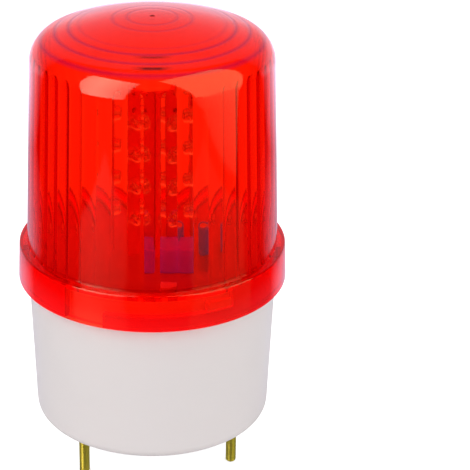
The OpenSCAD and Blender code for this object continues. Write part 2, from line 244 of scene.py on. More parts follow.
def piece(name, bm, look, body, nodes=(), crease=35):
    """Welds a mesh, shades it smooth up to an angle, and gives it to a body of the frame."""
    bmesh.ops.remove_doubles(bm, verts=bm.verts, dist=WELD)
    bmesh.ops.dissolve_degenerate(bm, edges=bm.edges, dist=WELD)
    bmesh.ops.recalc_face_normals(bm, faces=bm.faces)
    mesh = bpy.data.meshes.new(name)
    bm.to_mesh(mesh)
    bm.free()
    mesh.polygons.foreach_set("use_smooth", [True] * len(mesh.polygons))
    mesh.set_sharp_from_angle(angle=math.radians(crease))
    mesh.materials.append(look)
    made = bpy.data.objects.new(name, mesh)
    bpy.context.scene.collection.objects.link(made)
    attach(made, body)
    if nodes:
        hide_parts(*nodes)
    print(name, "has", len(mesh.polygons), "faces")


print("points nearer than", round(WELD / MM, 6), "mm are welded")

# %% [markdown]
# ## The lens
# Dome, shoulder and skirt are one clear moulding, 2.3 mm thick in the wall. A Boolean of simple
# solids could make it, but its faces would shade badly, and clear plastic shows every fault. So the
# lens is built from its outside line and its inside wall, which are stitched at the step under the
# shoulder. The line's corner, between the dome's leaning side and the crown's big circle, touches
# both, and its middle comes from a quadratic equation.

# %% Measures of the lens
SKIRT_R, SKIRT_H, SKIRT_WALL, SKIRT_LEAN, SKIRT_EDGE = 50.0, 13.9, 2.0, 2.3, 0.6
RIM_EDGE, RIM_INSET = 0.4, 0.42
SHOULDER_W, SHOULDER_T, LENS_WALL, FOOT_EDGE = 3.4, 2.4, 2.3, 0.08
DOME_H, DOME_LEAN, CORNER_R, CROWN_R = 86.3, 2, 10.2, 111.6
BASE_H, SEAT_GAP = 55.6, 0.3
SKIRT_Z = BASE_H + SEAT_GAP
DOME_Z = SKIRT_Z + SKIRT_H
STEP_Z = DOME_Z - SHOULDER_T
DOME_R = SKIRT_R - SHOULDER_W
CROWN_Z = DOME_Z + DOME_H - CROWN_R
print("the skirt starts at", SKIRT_Z, "mm, the dome at", round(DOME_Z, 1), "mm")

# %% The corner between dome and crown
DOME_DRAFT = math.radians(DOME_LEAN)
SLOPE = math.tan(DOME_DRAFT)
corner_base = DOME_R - CORNER_R / math.cos(DOME_DRAFT) + DOME_Z * SLOPE
corner_b = corner_base * SLOPE + CROWN_Z
corner_c = corner_base ** 2 + CROWN_Z ** 2 - (CROWN_R - CORNER_R) ** 2
corner_k = 1 + SLOPE ** 2
CORNER_Z = (corner_b + math.sqrt(corner_b ** 2 - corner_k * corner_c)) / corner_k
CORNER_X = corner_base - CORNER_Z * SLOPE
CORNER = (CORNER_X, CORNER_Z)
CROWN_LEAN = math.degrees(math.atan2(CORNER_Z - CROWN_Z, CORNER_X))
print("middle of the corner:", [round(v, 2) for v in CORNER], "turns to", round(CROWN_LEAN, 1))

# %% [markdown]
# ## The rings of the crown
# Fine rings run round the crown, and a small gate mark is left in its middle. Deep grooves would
# draw hard lines in the gloss, where the real rings only look like soft, darker bands. So each ring
# is a dip of some hundredths of a millimetre, and the finish adds the band as painted shade, with a
# purple glow of painted reflection. The outermost ring lies in the bend of the corner and is a
# painted band alone.

# %% Rings: radius, depth and strength of the painted band
RINGS = ((40.1, 0, 0.9), (34.8, 0.04, 1), (29.8, 0.04, 1),
         (26.1, 0.01, 0.3), (14.2, 0.02, 0.6), (8.95, 0.02, 0.6))
RING_HALF = 1.2
RING_STEPS = 5
GATE_EDGE = 1.2
GATE = ((0.95, 0), (0.85, 0.1), (0.8, 0.4), (0, 0.4))


def crown_line(depth, radii):
    return [(r, CROWN_Z + math.sqrt((CROWN_R - depth) ** 2 - r * r)) for r in radii]


def spread(start, end, last):
    """Radii from one towards another, in fifths."""
    return [start + (end - start) * k / RING_STEPS for k in range(1, last)]


def ringed_line(start, end):
    """The crown's line from one radius in to another, with its soft rings."""
    line = []
    for radius, deep, _ in RINGS:
        if not deep:
            continue
        line += crown_line(0, spread(start, radius + RING_HALF, RING_STEPS))
        for k in range(-RING_STEPS, RING_STEPS + 1):
            dip = deep * math.cos(math.pi / 2 * k / RING_STEPS) ** 2
            line += crown_line(dip, [radius - RING_HALF * k / RING_STEPS])
        start = radius - RING_HALF
    return line + crown_line(0, spread(start, end, RING_STEPS + 1))


print("rings in the crown:", len(RINGS))

# %% The outside line
SIDE_STEPS = 16


def lens_outside():
    """Points from the skirt's rim up to the crown's middle."""
    lean = math.radians(SKIRT_LEAN)
    side = SKIRT_R - (SKIRT_H - SKIRT_EDGE) * math.tan(lean)
    rim = (SKIRT_R - RIM_INSET, SKIRT_Z + RIM_EDGE)
    edge = (side - SKIRT_EDGE / math.cos(lean), DOME_Z - SKIRT_EDGE)
    foot, foot_z = DOME_R - FOOT_EDGE * SLOPE, DOME_Z + FOOT_EDGE
    line = arc(rim, RIM_EDGE, -90, SKIRT_LEAN, 4)
    line += arc(edge, SKIRT_EDGE, SKIRT_LEAN, 90, 8)
    line += arc((foot + FOOT_EDGE, foot_z), FOOT_EDGE, 270, 180, 4)
    run, rise = CORNER_X + CORNER_R * math.cos(DOME_DRAFT) - foot, CORNER_Z - DOME_Z
    for s in range(1, SIDE_STEPS):
        line.append((foot + run * s / SIDE_STEPS, foot_z + rise * s / SIDE_STEPS))
    line += arc(CORNER, CORNER_R, DOME_LEAN, CROWN_LEAN, 16)
    line += ringed_line(line[-1][0], GATE_EDGE)
    apex = CROWN_Z + CROWN_R
    return line + [(radius, apex - deep) for radius, deep in GATE]


OUTSIDE = lens_outside()
print("the outside line has", len(OUTSIDE), "points")

# %% [markdown]
# ## The ribs
# The inside of the dome has 48 upright ribs, each the inner side of a rod, with rounded valleys
# between them, that run out where the wall bends into the crown. Ribs could be bumps in the finish,
# but only real ones bend the view of the LEDs and draw arches where they meet the dome's foot. At
# each height the points slide along to the edge where a rib sinks into the wall, so that this edge
# stays crisp with few points.

# %% The inside wall
WALL_ROWS, CORNER_ROWS, CROWN_ROWS = 14, 40, 9


def wall_line(z):
    """Radius of the straight inside wall at a height."""
    return DOME_R - LENS_WALL / math.cos(DOME_DRAFT) - (z - DOME_Z) * SLOPE


def dome_inside():
    """Rows from the step up to the crown, as (radius of the wall, height)."""
    inner_r = CORNER_R - LENS_WALL
    rise = CORNER_Z + inner_r * math.sin(DOME_DRAFT) - STEP_Z
    heights = [STEP_Z + rise * s / WALL_ROWS for s in range(WALL_ROWS)]
    rows = [(wall_line(z), z) for z in heights]
    rows += arc(CORNER, inner_r, DOME_LEAN, CROWN_LEAN, CORNER_ROWS)
    end = rows[-1][0]
    radii = [end * (1 - s / CROWN_ROWS) for s in range(1, CROWN_ROWS + 1)]
    return rows + crown_line(LENS_WALL, radii)


INSIDE = dome_inside()
print("the inside wall has", len(INSIDE), "rows")

# %% The section of a rib
RIBS, RIB_R, RIB_LEAN, RIB_LAND = 48, 8.2, 18.6, 0.06
RIB_TURN = 360 / RIBS
CREST_STEPS, VALLEY_STEPS = 9, 3
CREST = [math.radians(RIB_LEAN * (2 * s / CREST_STEPS - 1)) for s in range(CREST_STEPS + 1)]
VALLEY = [math.radians(RIB_LEAN * (1 - s / VALLEY_STEPS)) for s in range(1, VALLEY_STEPS + 1)]


def rib_points(line):
    """One rib's section, as (distance along the wall, height above it) from valley to valley."""
    half = line * math.radians(RIB_TURN / 2) - RIB_LAND / 2
    lean = math.radians(RIB_LEAN)
    valley = half / math.sin(lean) - RIB_R
    foot = (RIB_R + valley) * math.cos(lean) - valley
    crest = [(RIB_R * math.sin(a), RIB_R * math.cos(a)) for a in CREST]
    fall = [(half - valley * math.sin(a), foot + valley * (1 - math.cos(a))) for a in VALLEY]
    points = [(-u, h) for u, h in reversed(fall)] + crest + fall
    return [(u, h - foot) for u, h in points]


rib_height = max(h for _, h in rib_points(wall_line(DOME_Z)))
print(RIBS, "ribs,", round(rib_height, 2), "mm high at the dome's foot")

# %% A row of ribs
TOUCH = 1e-6
FLAT = 1e-9


def rib_edge(rib, rise):
    """Where a rib's section sinks into a wall that has bent in by some rise."""
    proud = [(u, h) for u, h in rib if h >= rise - TOUCH]
    if not proud:
        return 0.0
    u0, h0 = proud[-1]
    beyond = [point for point in rib if point[0] > u0]
    if not beyond:
        return u0
    u1, h1 = beyond[0]
    return u0 + (u1 - u0) * (h0 - rise) / max(h0 - h1, FLAT)


def rib_ring(wall_r, z):
    """Angle and radius of the points round one row: across each rib, then in the land beside it."""
    line = wall_line(z)
    rib = rib_points(line)
    edge = rib_edge(rib, line - wall_r)
    ring = []
    for k in range(RIBS):
        for u, h in rib:
            off = max(-edge, min(edge, u))
            r = line - h if abs(u) <= edge else wall_r
            ring.append((k * RIB_TURN + math.degrees(off / line), min(r, wall_r)))
        ring.append(((k + 0.5) * RIB_TURN, wall_r))
    return ring


print("points in a row:", len(rib_ring(*INSIDE[0])))

# %% [markdown]
# ## The twist lock
# Inside the skirt runs the lock that holds the lens on the cup: three slots where the cup's lugs
# enter, a channel for each lug to turn in, and a stop at its end. Cutting these out of a ring would
# leave slivers in clear plastic. Here the skirt's inner section simply changes from sector to
# sector, with two columns of points where it does.

# %% Sectors of the lock
LUG_TURN, LUG_ANGLE, TWIST, STOP_GAP, ENTRY = 29.8, 11.5, 63.0, 0.7, 18.5
LUG_OUT, LIP_H, THIRD = 2.4, 5.1, 120
CHANNEL_R = SKIRT_R - SKIRT_WALL
BORE_R = CHANNEL_R - LUG_OUT
LIP_Z = SKIRT_Z + LIP_H
CHANNEL_START = LUG_TURN - LUG_ANGLE / 2 - TWIST - STOP_GAP
CHANNEL_END = CHANNEL_START + TWIST + LUG_ANGLE + 2 * STOP_GAP
SECTORS = ((CHANNEL_START, CHANNEL_START + ENTRY, "entry"),
           (CHANNEL_START + ENTRY, CHANNEL_END, "channel"),
           (CHANNEL_END, CHANNEL_START + THIRD, "stop"))


def turned_sectors():
    """The sectors of all three lugs, round the skirt."""
    for n in range(3):
        for start, end, kind in SECTORS:
            yield start + THIRD * n, end + THIRD * n, kind


def skirt_inside(kind):
    """The skirt's inner section from the step down, for one kind of sector."""
    upper = BORE_R if kind == "stop" else CHANNEL_R
    lower = CHANNEL_R if kind == "entry" else BORE_R
    return [(BORE_R, STEP_Z), (upper, STEP_Z), (upper, LIP_Z), (lower, LIP_Z),
            (lower, SKIRT_Z), (CHANNEL_R, SKIRT_Z)]


print("sectors of the lock:", [(round(a), round(b), kind) for a, b, kind in turned_sectors()])

# %% [markdown]
# ## The red of the lens
# The lens is a clear plastic, dyed red in the mass. A red glass shader could tint it at its skin
# alone, but then thick places would be no deeper than thin ones, so a volume inside also drinks the
# other colours on the way. The glass is slightly hazy, as moulded plastic is. Lamps can't be found
# through bent light, so shadow rays pass straight through a plain tinted gap instead, and the parts
# inside stay lit. The skirt has a deeper red and a red glow of painted light. Its shoulder has a
# darker tone of painted shade. The crown's rings get darker bands of painted shade with a purple glow
# of painted reflection. Two short dark marks at the crown's front are painted shade, and the whole
# lens glows faintly red as painted light.

# %% Where the crown gets its painted ring bands and painted shade marks
SHADE_MARKS = ((37.1, 1.3, 1.0), (31.2, 1.2, 0.85))
SHADE_MARK_HALF = 5.2
SKIN = 1.0


def crown_lines(look):
    """Where the crown's outside gets its painted ring bands, and two short painted shade marks at its
    front.
    """
    place, middle = look.place(), (0, 0, CROWN_Z * MM)
    level = look.node("VectorMath", {"operation": "MULTIPLY"}, {0: place, 1: (1, 1, 0)})
    radius = look.node("VectorMath", {"operation": "LENGTH"}, {0: level}, "Value") / MM
    apart = look.node("VectorMath", {"operation": "DISTANCE"}, {0: place, 1: middle}, "Value")
    crown = apart.above((CROWN_R - SKIN) * MM)
    rings = marks = 0
    # painted shade and painted reflection: a band round each ring
    for ring, _, share in RINGS:
        rings = (1 - abs(radius - ring) / RING_HALF).clip() * share + rings
    # painted shade: two short dark marks at the crown's front
    for mark, half, share in SHADE_MARKS:
        marks = (half - abs(radius - mark)).clip() * share + marks
    middle_front = (1.5 - abs(look.along("X")) / (SHADE_MARK_HALF * MM)).clip() * look.along("Y").below(0)
    return rings * crown, marks * middle_front * crown


print("short marks at", [mark for mark, *_ in SHADE_MARKS], "mm from the axis")

# %% Clear red plastic
SKIRT_TOP, SHOULDER_TOP = 69.2, 70.1


def lens_red():
    look = new_look("lens_red")
    height = look.along("Z") / MM
    skirt = height.below(SKIRT_TOP)
    shoulder = height.above(SKIRT_TOP) * height.below(SHOULDER_TOP)
    rings, marks = crown_lines(look)
    tone = look.mix(look.noise(22, 3), (1.0, 0.43, 0.26), (1.0, 0.47, 0.29))
    tone = look.mix(skirt, tone, (1.0, 0.30, 0.14))
    # painted shade: the shoulder's top is darker
    tone = look.mix(shoulder, tone, (0.62, 0.10, 0.20))
    # painted shade: darker ring bands
    tone = look.mix(rings, tone, (0.36, 0.06, 0.14))
    # painted shade: the short marks at the crown's front are nearly black
    tone = look.mix(marks, tone, (0.03, 0.0, 0.0))
    # painted light: the whole lens glows faintly red, and the skirt glows most
    glow = look.mix(skirt, (1.0, 0.0, 0.0), (2.8, 0.0, 0.0))
    # painted reflection: the ring bands glow purple
    glow = look.mix(rings, glow, (0.9, 0.0, 1.0))
    haze = look.noise(260) * 0.03 + 0.05
    glass = look.plastic(Base_Color=tone, Roughness=haze, IOR=1.5, Transmission_Weight=1.0,
                         Emission_Color=glow, Emission_Strength=0.03)
    gap = look.node("BsdfTransparent", {}, {"Color": (1.0, 0.15, 0.6)})
    clear = look.node("MixShader", {}, {0: look.ray("Shadow"), 1: glass, 2: gap})
    dyed = {"Color": (0.977, 0.45, 0.18), "Density": 1000.0}
    return look.surface(clear, Volume=look.node("VolumeAbsorption", {}, dyed))


LENS_RED = lens_red()

# %% [markdown]
# ## Stitching the lens
# The outside is made of upright columns of points, because the lock changes from column to column.
# The ribbed wall is made of level rows, because the ribs change from row to row. The two could be
# left as open shells, but glass needs one closed skin to know its inside. They meet at the step,
# where triangles zip up two rings that differ in their number of points.

# %% Columns of the outside
COLUMN_STEP = 1.5


def outside_columns(bm):
    """The skirt's inside and the lens's outside; returns the columns, each with its angle."""
    columns = []
    for start, end, kind in turned_sectors():
        count = max(2, round((end - start) / COLUMN_STEP))
        section = skirt_inside(kind) + OUTSIDE[:-1]
        for k in range(count + 1):
            turn = start + (end - start) * k / count
            columns.append((turn, [bm.verts.new(at(r, turn, z)) for r, z in section]))
    tip = bm.verts.new(at(0, 0, OUTSIDE[-1][1]))
    for k, (_, a) in enumerate(columns):
        b = columns[(k + 1) % len(columns)][1]
        for n in range(len(a) - 1):
            bm.faces.new((a[n], b[n], b[n + 1], a[n + 1]))
        bm.faces.new((a[-1], b[-1], tip))
    return columns


lens = bmesh.new()
columns = outside_columns(lens)
print("the outside has", len(columns), "columns of", len(columns[0][1]), "points")

# %% Rows of the ribbed wall
def ribbed_rows(bm):
    """The ribbed wall; returns the points of its lowest row, each with its angle."""
    rings = []
    for wall_r, z in INSIDE[:-1]:
        rings.append([bm.verts.new(at(r, turn, z)) for turn, r in rib_ring(wall_r, z)])
    for a, b in zip(rings, rings[1:]):
        join(bm, a, b)
    cap(bm, rings[-1], at(0, 0, INSIDE[-1][1]))
    return [(turn, v) for (turn, _), v in zip(rib_ring(*INSIDE[0]), rings[0])]


lowest_row = ribbed_rows(lens)
print("the lowest row of ribs has", len(lowest_row), "points")

# %% Zip the two together
def zip_rings(bm, a, b):
    """Triangles between two rings whose points, as (angle, vertex), differ in number."""
    i = j = 0
    while i < len(a) or j < len(b):
        va, vb = a[i % len(a)][1], b[j % len(b)][1]
        next_a = a[(i + 1) % len(a)][0] + 360 * ((i + 1) // len(a))
        next_b = b[(j + 1) % len(b)][0] + 360 * ((j + 1) // len(b))
        if j >= len(b) or (i < len(a) and next_a <= next_b):
            bm.faces.new((va, a[(i + 1) % len(a)][1], vb))
            i += 1
        else:
            bm.faces.new((va, b[(j + 1) % len(b)][1], vb))
            j += 1


outer = [(turn, column[0]) for turn, column in columns]
first = outer[0][0]
inner = [((turn - first) % 360 + first, v) for turn, v in lowest_row]
zip_rings(lens, sorted(inner, key=lambda point: point[0]), outer)
piece("lens_moulding", lens, LENS_RED, "lens", ["lens"], crease=14)

# %% [markdown]
# ## The white cup
# The cup's solid already has its draft, its rounded foot, the neck and the lugs. It could be turned
# again with finer steps, but nothing would be gained, so it stays. Its plastic is satin white with a
# trace of warmth, and a fine moulded grain that softens reflections.

# %% Satin white plastic
def dress(node, look):
    """Gives a CAD node that stays a finish of its own."""
    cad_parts[node].material_slots[0].material = look
    print(node, "wears", look.name)


def base_white():
    look = new_look("base_white")
    tone = look.mix(look.noise(30, 3), (0.82, 0.770, 0.768), (0.79, 0.742, 0.740))
    grain = look.noise(2600)
    return look.surface(look.plastic(Base_Color=tone, Roughness=grain * 0.08 + 0.36, IOR=1.5,
                                     Normal=look.bump(grain, 0.12, 0.03)))


dress("base", base_white())

# %% [markdown]
# ## The studs
# Three 4 mm studs with a rolled thread of 0.7 mm pitch are zinc plated and passivated yellow. A bump
# in the finish could hint at the thread, but the edge of a stud would stay straight. Here the radius
# of each ring of points follows the thread round, which makes a true helix.

# %% Yellow zinc
def zinc_yellow():
    look = new_look("zinc_yellow")
    bloom = look.mix(look.noise(420, 3), (0.72, 0.60, 0.10), (0.62, 0.46, 0.12))
    film = look.noise(900)
    tone = look.mix(film, bloom, (0.60, 0.62, 0.11))
    return look.surface(look.plastic(Base_Color=tone, Metallic=1.0, Roughness=film * 0.16 + 0.24))


ZINC_YELLOW = zinc_yellow()

# %% Rings of a stud
PITCH, THREAD_DEPTH, CREST_SHARE, FLANK_SHARE = 0.7, 0.43, 0.18, 0.62
STUD_OUT, STUD_R, STUD_CHAMFER = 19.6, 2.0, 0.5
SHANK_R, STUD_SEAT, HEAD_W, HEAD_H, HEAD_EDGE, HEAD_EDGE_H = 1.8, 5.4, 7.0, 2.8, 0.5, 0.3
RINGS_PER_PITCH = 12


def thread_radius(turn, z):
    """Crest, flank and root of the thread at an angle and a height."""
    wave = abs(((z / PITCH + turn / 360) % 1) - 0.5) * 2
    return STUD_R - THREAD_DEPTH * min(1, max(0, (wave - CREST_SHARE) / FLANK_SHARE))


def hexagon(turn):
    return HEAD_W / 2 / math.cos(math.radians((turn + 30) % 60 - 30))


def stud_levels():
    """A stud from its head down: for each ring, its radius at an angle, and its height."""
    top = STUD_SEAT + HEAD_H
    levels = [(lambda t: hexagon(t) - HEAD_EDGE, top), (hexagon, top - HEAD_EDGE_H),
              (hexagon, STUD_SEAT), (lambda t: SHANK_R, STUD_SEAT), (lambda t: SHANK_R, 0.0)]
    steps = round(STUD_OUT / PITCH * RINGS_PER_PITCH)
    for s in range(steps + 1):
        z = -STUD_OUT * s / steps
        end = STUD_R - STUD_CHAMFER + max(0, z + STUD_OUT)
        levels.append((lambda t, z=z, end=end: min(thread_radius(t, z), end), z))
    return levels


STUD_LEVELS = stud_levels()
print("a stud has", len(STUD_LEVELS), "rings")

# %% Make the studs
STUD_TURNS, STUD_CIRCLE = (67.8, 187.8, 307.8), 32.7
STUD_ROUND = 40
round_turns = [360 * k / STUD_ROUND for k in range(STUD_ROUND)]
studs = bmesh.new()
for turn in STUD_TURNS:
    middle = at(STUD_CIRCLE, turn, 0)
    rings = []
    for radius, z in STUD_LEVELS:
        rings.append([studs.verts.new(middle + at(radius(t), t, z)) for t in round_turns])
    for a, b in zip(rings, rings[1:]):
        join(studs, a, b)
    for end in (0, -1):
        cap(studs, rings[end], middle + at(0, 0, STUD_LEVELS[end][1]))
piece("threaded_studs", studs, ZINC_YELLOW, "base", ["mounting_studs"], crease=50)

# %% [markdown]
# ## Boards
# The boards are a reddish brown paper laminate, a cheap and common kind, with darker fibres and
# faint bands of copper showing through. Tracks could be modelled, but behind the ribs nothing that
# fine would show, so the solids only get a finish. The main board's tone is painted darker than the
# column's as painted shade. It rises towards the back as painted light, where the ribbed lens
# gathers light on it.

# %% Brown laminate
COPPER_LINE = 0.93


def laminate(name, light, dark, painted_light=lambda look: 1.0):
    """Paper laminate between two tones; the last argument gives the share of its tone from place to
    place, as painted light.
    """
    look = new_look(name)
    fibre = look.noise(700, 4)
    track = look.node("TexWave", {"wave_type": "BANDS", "bands_direction": "Z"},
                      {"Vector": look.place(), "Scale": 60, "Distortion": 1.5})
    tone = look.mix(track.above(COPPER_LINE) * 0.5, look.mix(fibre, light, dark), dark)
    return look.surface(look.plastic(Base_Color=look.tint(tone, painted_light(look)), IOR=1.5,
                                     Roughness=fibre * 0.15 + 0.38))


def back_lit(look):
    """The main board is lighter towards the back, as painted light."""
    return look.along("Y") / MM * 0.0085 + 1.08


SIDES = ("front_right", "right", "back_right", "back_left", "left", "front_left")
COLUMN_BROWN = laminate("column_brown", (0.74, 0.12, 0.05), (0.66, 0.09, 0.04))
for name in SIDES:
    dress("led_board_" + name, COLUMN_BROWN)
# painted shade: the main board is darker than the column's boards, and painted light lightens it
# towards the back
dress("main_board", laminate("board_brown_painted_shade", (0.54, 0.125, 0.055), (0.47, 0.10, 0.045), back_lit))

# %% [markdown]
# ## LEDs
# Each LED is a clear epoxy bullet with a flange, cast round two flat leads; one lead ends in the
# little bright cup that holds the chip. A plain white bullet would do from far away, but here the
# glints inside show. So bullet and leads are separate meshes, the epoxy is glass, and it bends the
# view of the leads as a real one does. The board below lights the undersides of the bullets, and
# that light is painted in as a faint glow in their finish, a painted highlight.

# %% Clear epoxy and bright leads
def led_clear():
    look = new_look("led_clear")
    cloud = look.noise(500)
    tone = look.mix(cloud, (0.98, 0.97, 0.95), (0.95, 0.93, 0.90))
    under = look.along("Z", look.node("NewGeometry", {}, {}, "Normal")) * -1
    # painted highlight: the undersides of the bullets glow
    lit = ((under - 0.3) * 2.5).clip() * under.below(0.9)
    glass = look.plastic(Base_Color=tone, Roughness=cloud * 0.04 + 0.06, IOR=1.5,
                         Transmission_Weight=0.85, Emission_Strength=0.75,
                         Emission_Color=look.tint((1.0, 0.5, 0.35), lit))
    gap = look.node("BsdfTransparent", {}, {"Color": (0.95, 0.95, 0.94)})
    return look.surface(look.node("MixShader", {}, {0: look.ray("Shadow"), 1: glass, 2: gap}))


def bright_metal(name, light, dark, scale, rough, metallic=1.0):
    """Bare metal with a thin film that clouds it a little."""
    look = new_look(name)
    film = look.noise(scale)
    return look.surface(look.plastic(Base_Color=look.mix(film, light, dark), Metallic=metallic,
                                     Roughness=film * rough[1] + rough[0]))


LED_CLEAR = led_clear()
TINNED = bright_metal("tinned_lead", (0.80, 0.79, 0.77), (0.66, 0.65, 0.63), 1500, (0.2, 0.15))

# %% Turned solids
def turn_solid(bm, section, count, put):
    """A solid turned from a section whose ends lie on the axis; put places each point."""
    rings, turns = [], [360 * k / count for k in range(count)]
    for radius, height in section[1:-1]:
        rings.append([bm.verts.new(put(at(radius, turn, height))) for turn in turns])
    for a, b in zip(rings, rings[1:]):
        join(bm, a, b)
    for end in (0, -1):
        cap(bm, rings[end], put(at(0, 0, section[end][1])))


LED_R, LED_L, FLANGE_R, FLANGE_T = 2.5, 5.5, 2.9, 1.0
led_section = [(0, 0), (FLANGE_R, 0), (FLANGE_R, FLANGE_T), (LED_R + 0.05, FLANGE_T + 0.05)]
led_section += [(LED_R, 2.0)] + arc((0, LED_L - LED_R), LED_R, 0, 84, 10) + [(0, LED_L)]
cup_section = [(0, 2.2), (0.45, 2.2), (0.45, 3.3), (1.15, 4.1), (1.05, 4.1), (0.5, 3.5), (0, 3.5)]
print("an LED's section has", len(led_section), "points")

# %% Bars between two corners
BOX_FACES = ((0, 1, 3, 2), (4, 6, 7, 5), (0, 4, 5, 1), (2, 3, 7, 6), (0, 2, 6, 4), (1, 5, 7, 3))


def box(bm, low, high, put):
    """A plain bar between two corners in millimetres; put places each point."""
    x, y, z = zip(low, high)
    corners = [Vector((a, b, c)) * MM for a in x for b in y for c in z]
    verts = [bm.verts.new(put(corner)) for corner in corners]
    for face in BOX_FACES:
        bm.faces.new([verts[n] for n in face])


STEM = ((-0.3, -0.25, 0.1), (0.3, 0.25, 2.3))
POST = ((0.9, -0.25, 0.1), (1.4, 0.25, 4.2))
print("the two leads stand", STEM[1][2], "and", POST[1][2], "mm high")

# %% Make the LEDs of each side of the column
COLUMN_W, COLUMN_TURN, BOARD_TOP = 16.6, 23.0, 66.1
LED_FOOT, LED_PITCH, LED_ROWS = 15.5, 12.5, 4
LED_ROUND, CUP_ROUND = 40, 24
UP = Vector((0, 0, 1))


def make_leds(name, side):
    turn = math.radians(COLUMN_TURN + 360 / len(SIDES) * side)
    right = Vector((math.cos(turn), math.sin(turn), 0))
    out = Vector((math.sin(turn), -math.cos(turn), 0))
    bullets, leads = bmesh.new(), bmesh.new()
    for row in range(LED_ROWS):
        foot = (out * COLUMN_W / 2 + UP * (BOARD_TOP + LED_FOOT + row * LED_PITCH)) * MM
        put = lambda p, foot=foot: foot + right * p.x + UP * p.y + out * p.z
        turn_solid(bullets, led_section, LED_ROUND, put)
        turn_solid(leads, cup_section, CUP_ROUND, put)
        box(leads, *STEM, put)
        box(leads, *POST, put)
    piece("led_bullets_" + name, bullets, LED_CLEAR, "base", ["leds_" + name],
          crease=30)
    piece("led_leads_" + name, leads, TINNED, "base")


for side, name in enumerate(SIDES):
    make_leds(name, side)

# %% [markdown]
# ## Capacitors
# The film capacitor is a small blue-violet box with softened edges. The two round ones are aluminium
# cans in a shrunk dark blue sleeve, with a rolled groove near the foot, which leaves the top of the
# can bare. The red lens lets so little blue through that painted blue alone would look black behind
# it. The real ones still show a violet cast, so their finishes glow a little in blue.

# %% Case, sleeve and can
def glowing_case(name, tones, scale, detail, rough, glow, strength):
    """Coloured plastic with a faint smear, and a glow that carries its blue through the red lens."""
    look = new_look(name)
    smear = look.noise(scale, detail)
    return look.surface(look.plastic(Base_Color=look.mix(smear, *tones), IOR=1.5,
                                     Roughness=smear * rough[1] + rough[0],
                                     Emission_Color=glow, Emission_Strength=strength))


FILM_CASE = glowing_case("film_case", ((0.42, 0.12, 0.80), (0.26, 0.09, 0.62)), 160, 3,
                         (0.22, 0.2), (0.0, 0.02, 0.9), 0.95)
SLEEVE = glowing_case("can_sleeve", ((0.16, 0.20, 0.42), (0.12, 0.14, 0.30)), 240, 2,
                      (0.25, 0.12), (0.04, 0.12, 0.9), 0.8)
CAN_METAL = bright_metal("can_metal", (0.78, 0.78, 0.79), (0.62, 0.62, 0.64), 900, (0.25, 0.15))

# %% Make the film capacitor
FILM_RISE, FILM_EDGE = 1.2, 0.7
film_low, film_high = (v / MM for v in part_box("film_capacitor"))
film = bmesh.new()
box(film, film_low, film_high + UP * FILM_RISE, lambda p: p)
bmesh.ops.bevel(film, geom=list(film.edges), offset=FILM_EDGE * MM, segments=3, profile=0.5,
                affect="EDGES")
piece("film_box", film, FILM_CASE, "base", ["film_capacitor"], crease=30)

# %% Sections with rounded corners
def rounded(section, steps=5):
    """A section's points; a corner with a third number, its radius, becomes an arc."""
    points = []
    for k, corner in enumerate(section):
        here = Vector(corner[:2])
        if len(corner) < 3:
            points.append(tuple(here))
            continue
        radius = corner[2]
        back = (Vector(section[k - 1][:2]) - here).normalized()
        on = (Vector(section[k + 1][:2]) - here).normalized()
        half = back.angle(on) / 2
        middle = here + (back + on).normalized() * radius / math.sin(half)
        start, end = (here + side * radius / math.tan(half) - middle for side in (back, on))
        turn = start.angle_signed(end)
        for s in range(steps + 1):
            a = -turn * s / steps
            c, w = math.cos(a), math.sin(a)
            points.append((middle.x + start.x * c - start.y * w,
                           middle.y + start.x * w + start.y * c))
    return points


print("a corner of 5 mm becomes", len(rounded([(0, 0), (9, 0, 5), (9, 9)])) - 2, "points")

# %% Make the round capacitors
CAN_ROUND = 48


def make_can(name, node):
    low, high = (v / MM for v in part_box(node))
    middle = Vector(((low.x + high.x) / 2, (low.y + high.y) / 2, low.z)) * MM
    r, h = (high.x - low.x) / 2, high.z - low.z
    sleeve, top = bmesh.new(), bmesh.new()
    sleeve_section = [(0, 0), (r - 0.1, 0, 0.2), (r - 0.05, 1.2, 0.3), (r - 0.4, 1.6, 0.3),
                      (r, 2.0, 0.3), (r, h, 0.5), (r - 1.0, h, 0.1), (r - 1.1, h - 0.3),
                      (0, h - 0.3)]
    top_section = [(0, h - 0.6), (r - 1.15, h - 0.6), (r - 1.15, h - 0.16, 0.1), (0, h - 0.16)]
    turn_solid(sleeve, rounded(sleeve_section), CAN_ROUND, lambda p: middle + p)
    turn_solid(top, rounded(top_section), CAN_ROUND, lambda p: middle + p)
    piece(name + "_sleeve", sleeve, SLEEVE, "base", [node])
    piece(name + "_top", top, CAN_METAL, "base")


make_can("bulk", "bulk_capacitor")
make_can("timing", "timing_capacitor")

# %% [markdown]
# ## Small driver parts
# The rest of the driver hardly shows through the lens. Leads and print could be added, but nobody
# would see them, so the solids stay, with the finishes of moulded epoxy, lacquered ceramic with its
# colour rings, and plain steel.

# %% Finishes of the small parts
def chip_black():
    look = new_look("chip_black")
    grain = look.noise(3000)
    tone = look.mix(grain, (0.030, 0.030, 0.032), (0.016, 0.016, 0.018))
    return look.surface(look.plastic(Base_Color=tone, Roughness=grain * 0.15 + 0.45,
                                     Normal=look.bump(grain, 0.2, 0.02)))


LACQUER = (0.62, 0.45, 0.26)
RESISTOR_X, RESISTOR_L = 2, 9


def resistor_body():
    look = new_look("resistor_body")
    stops = [(0.0, LACQUER), (0.24, (0.30, 0.12, 0.03)), (0.32, LACQUER), (0.44, (0.02, 0.02, 0.02)),
             (0.52, LACQUER), (0.66, (0.6, 0.1, 0.03)), (0.74, LACQUER)]
    share = (look.along("X") / MM - RESISTOR_X) / RESISTOR_L + 0.5
    tone = look.node("ValToRGB", {"stops": stops}, {"Fac": share})
    return look.surface(look.plastic(Base_Color=tone, Roughness=look.noise(900) * 0.1 + 0.3))


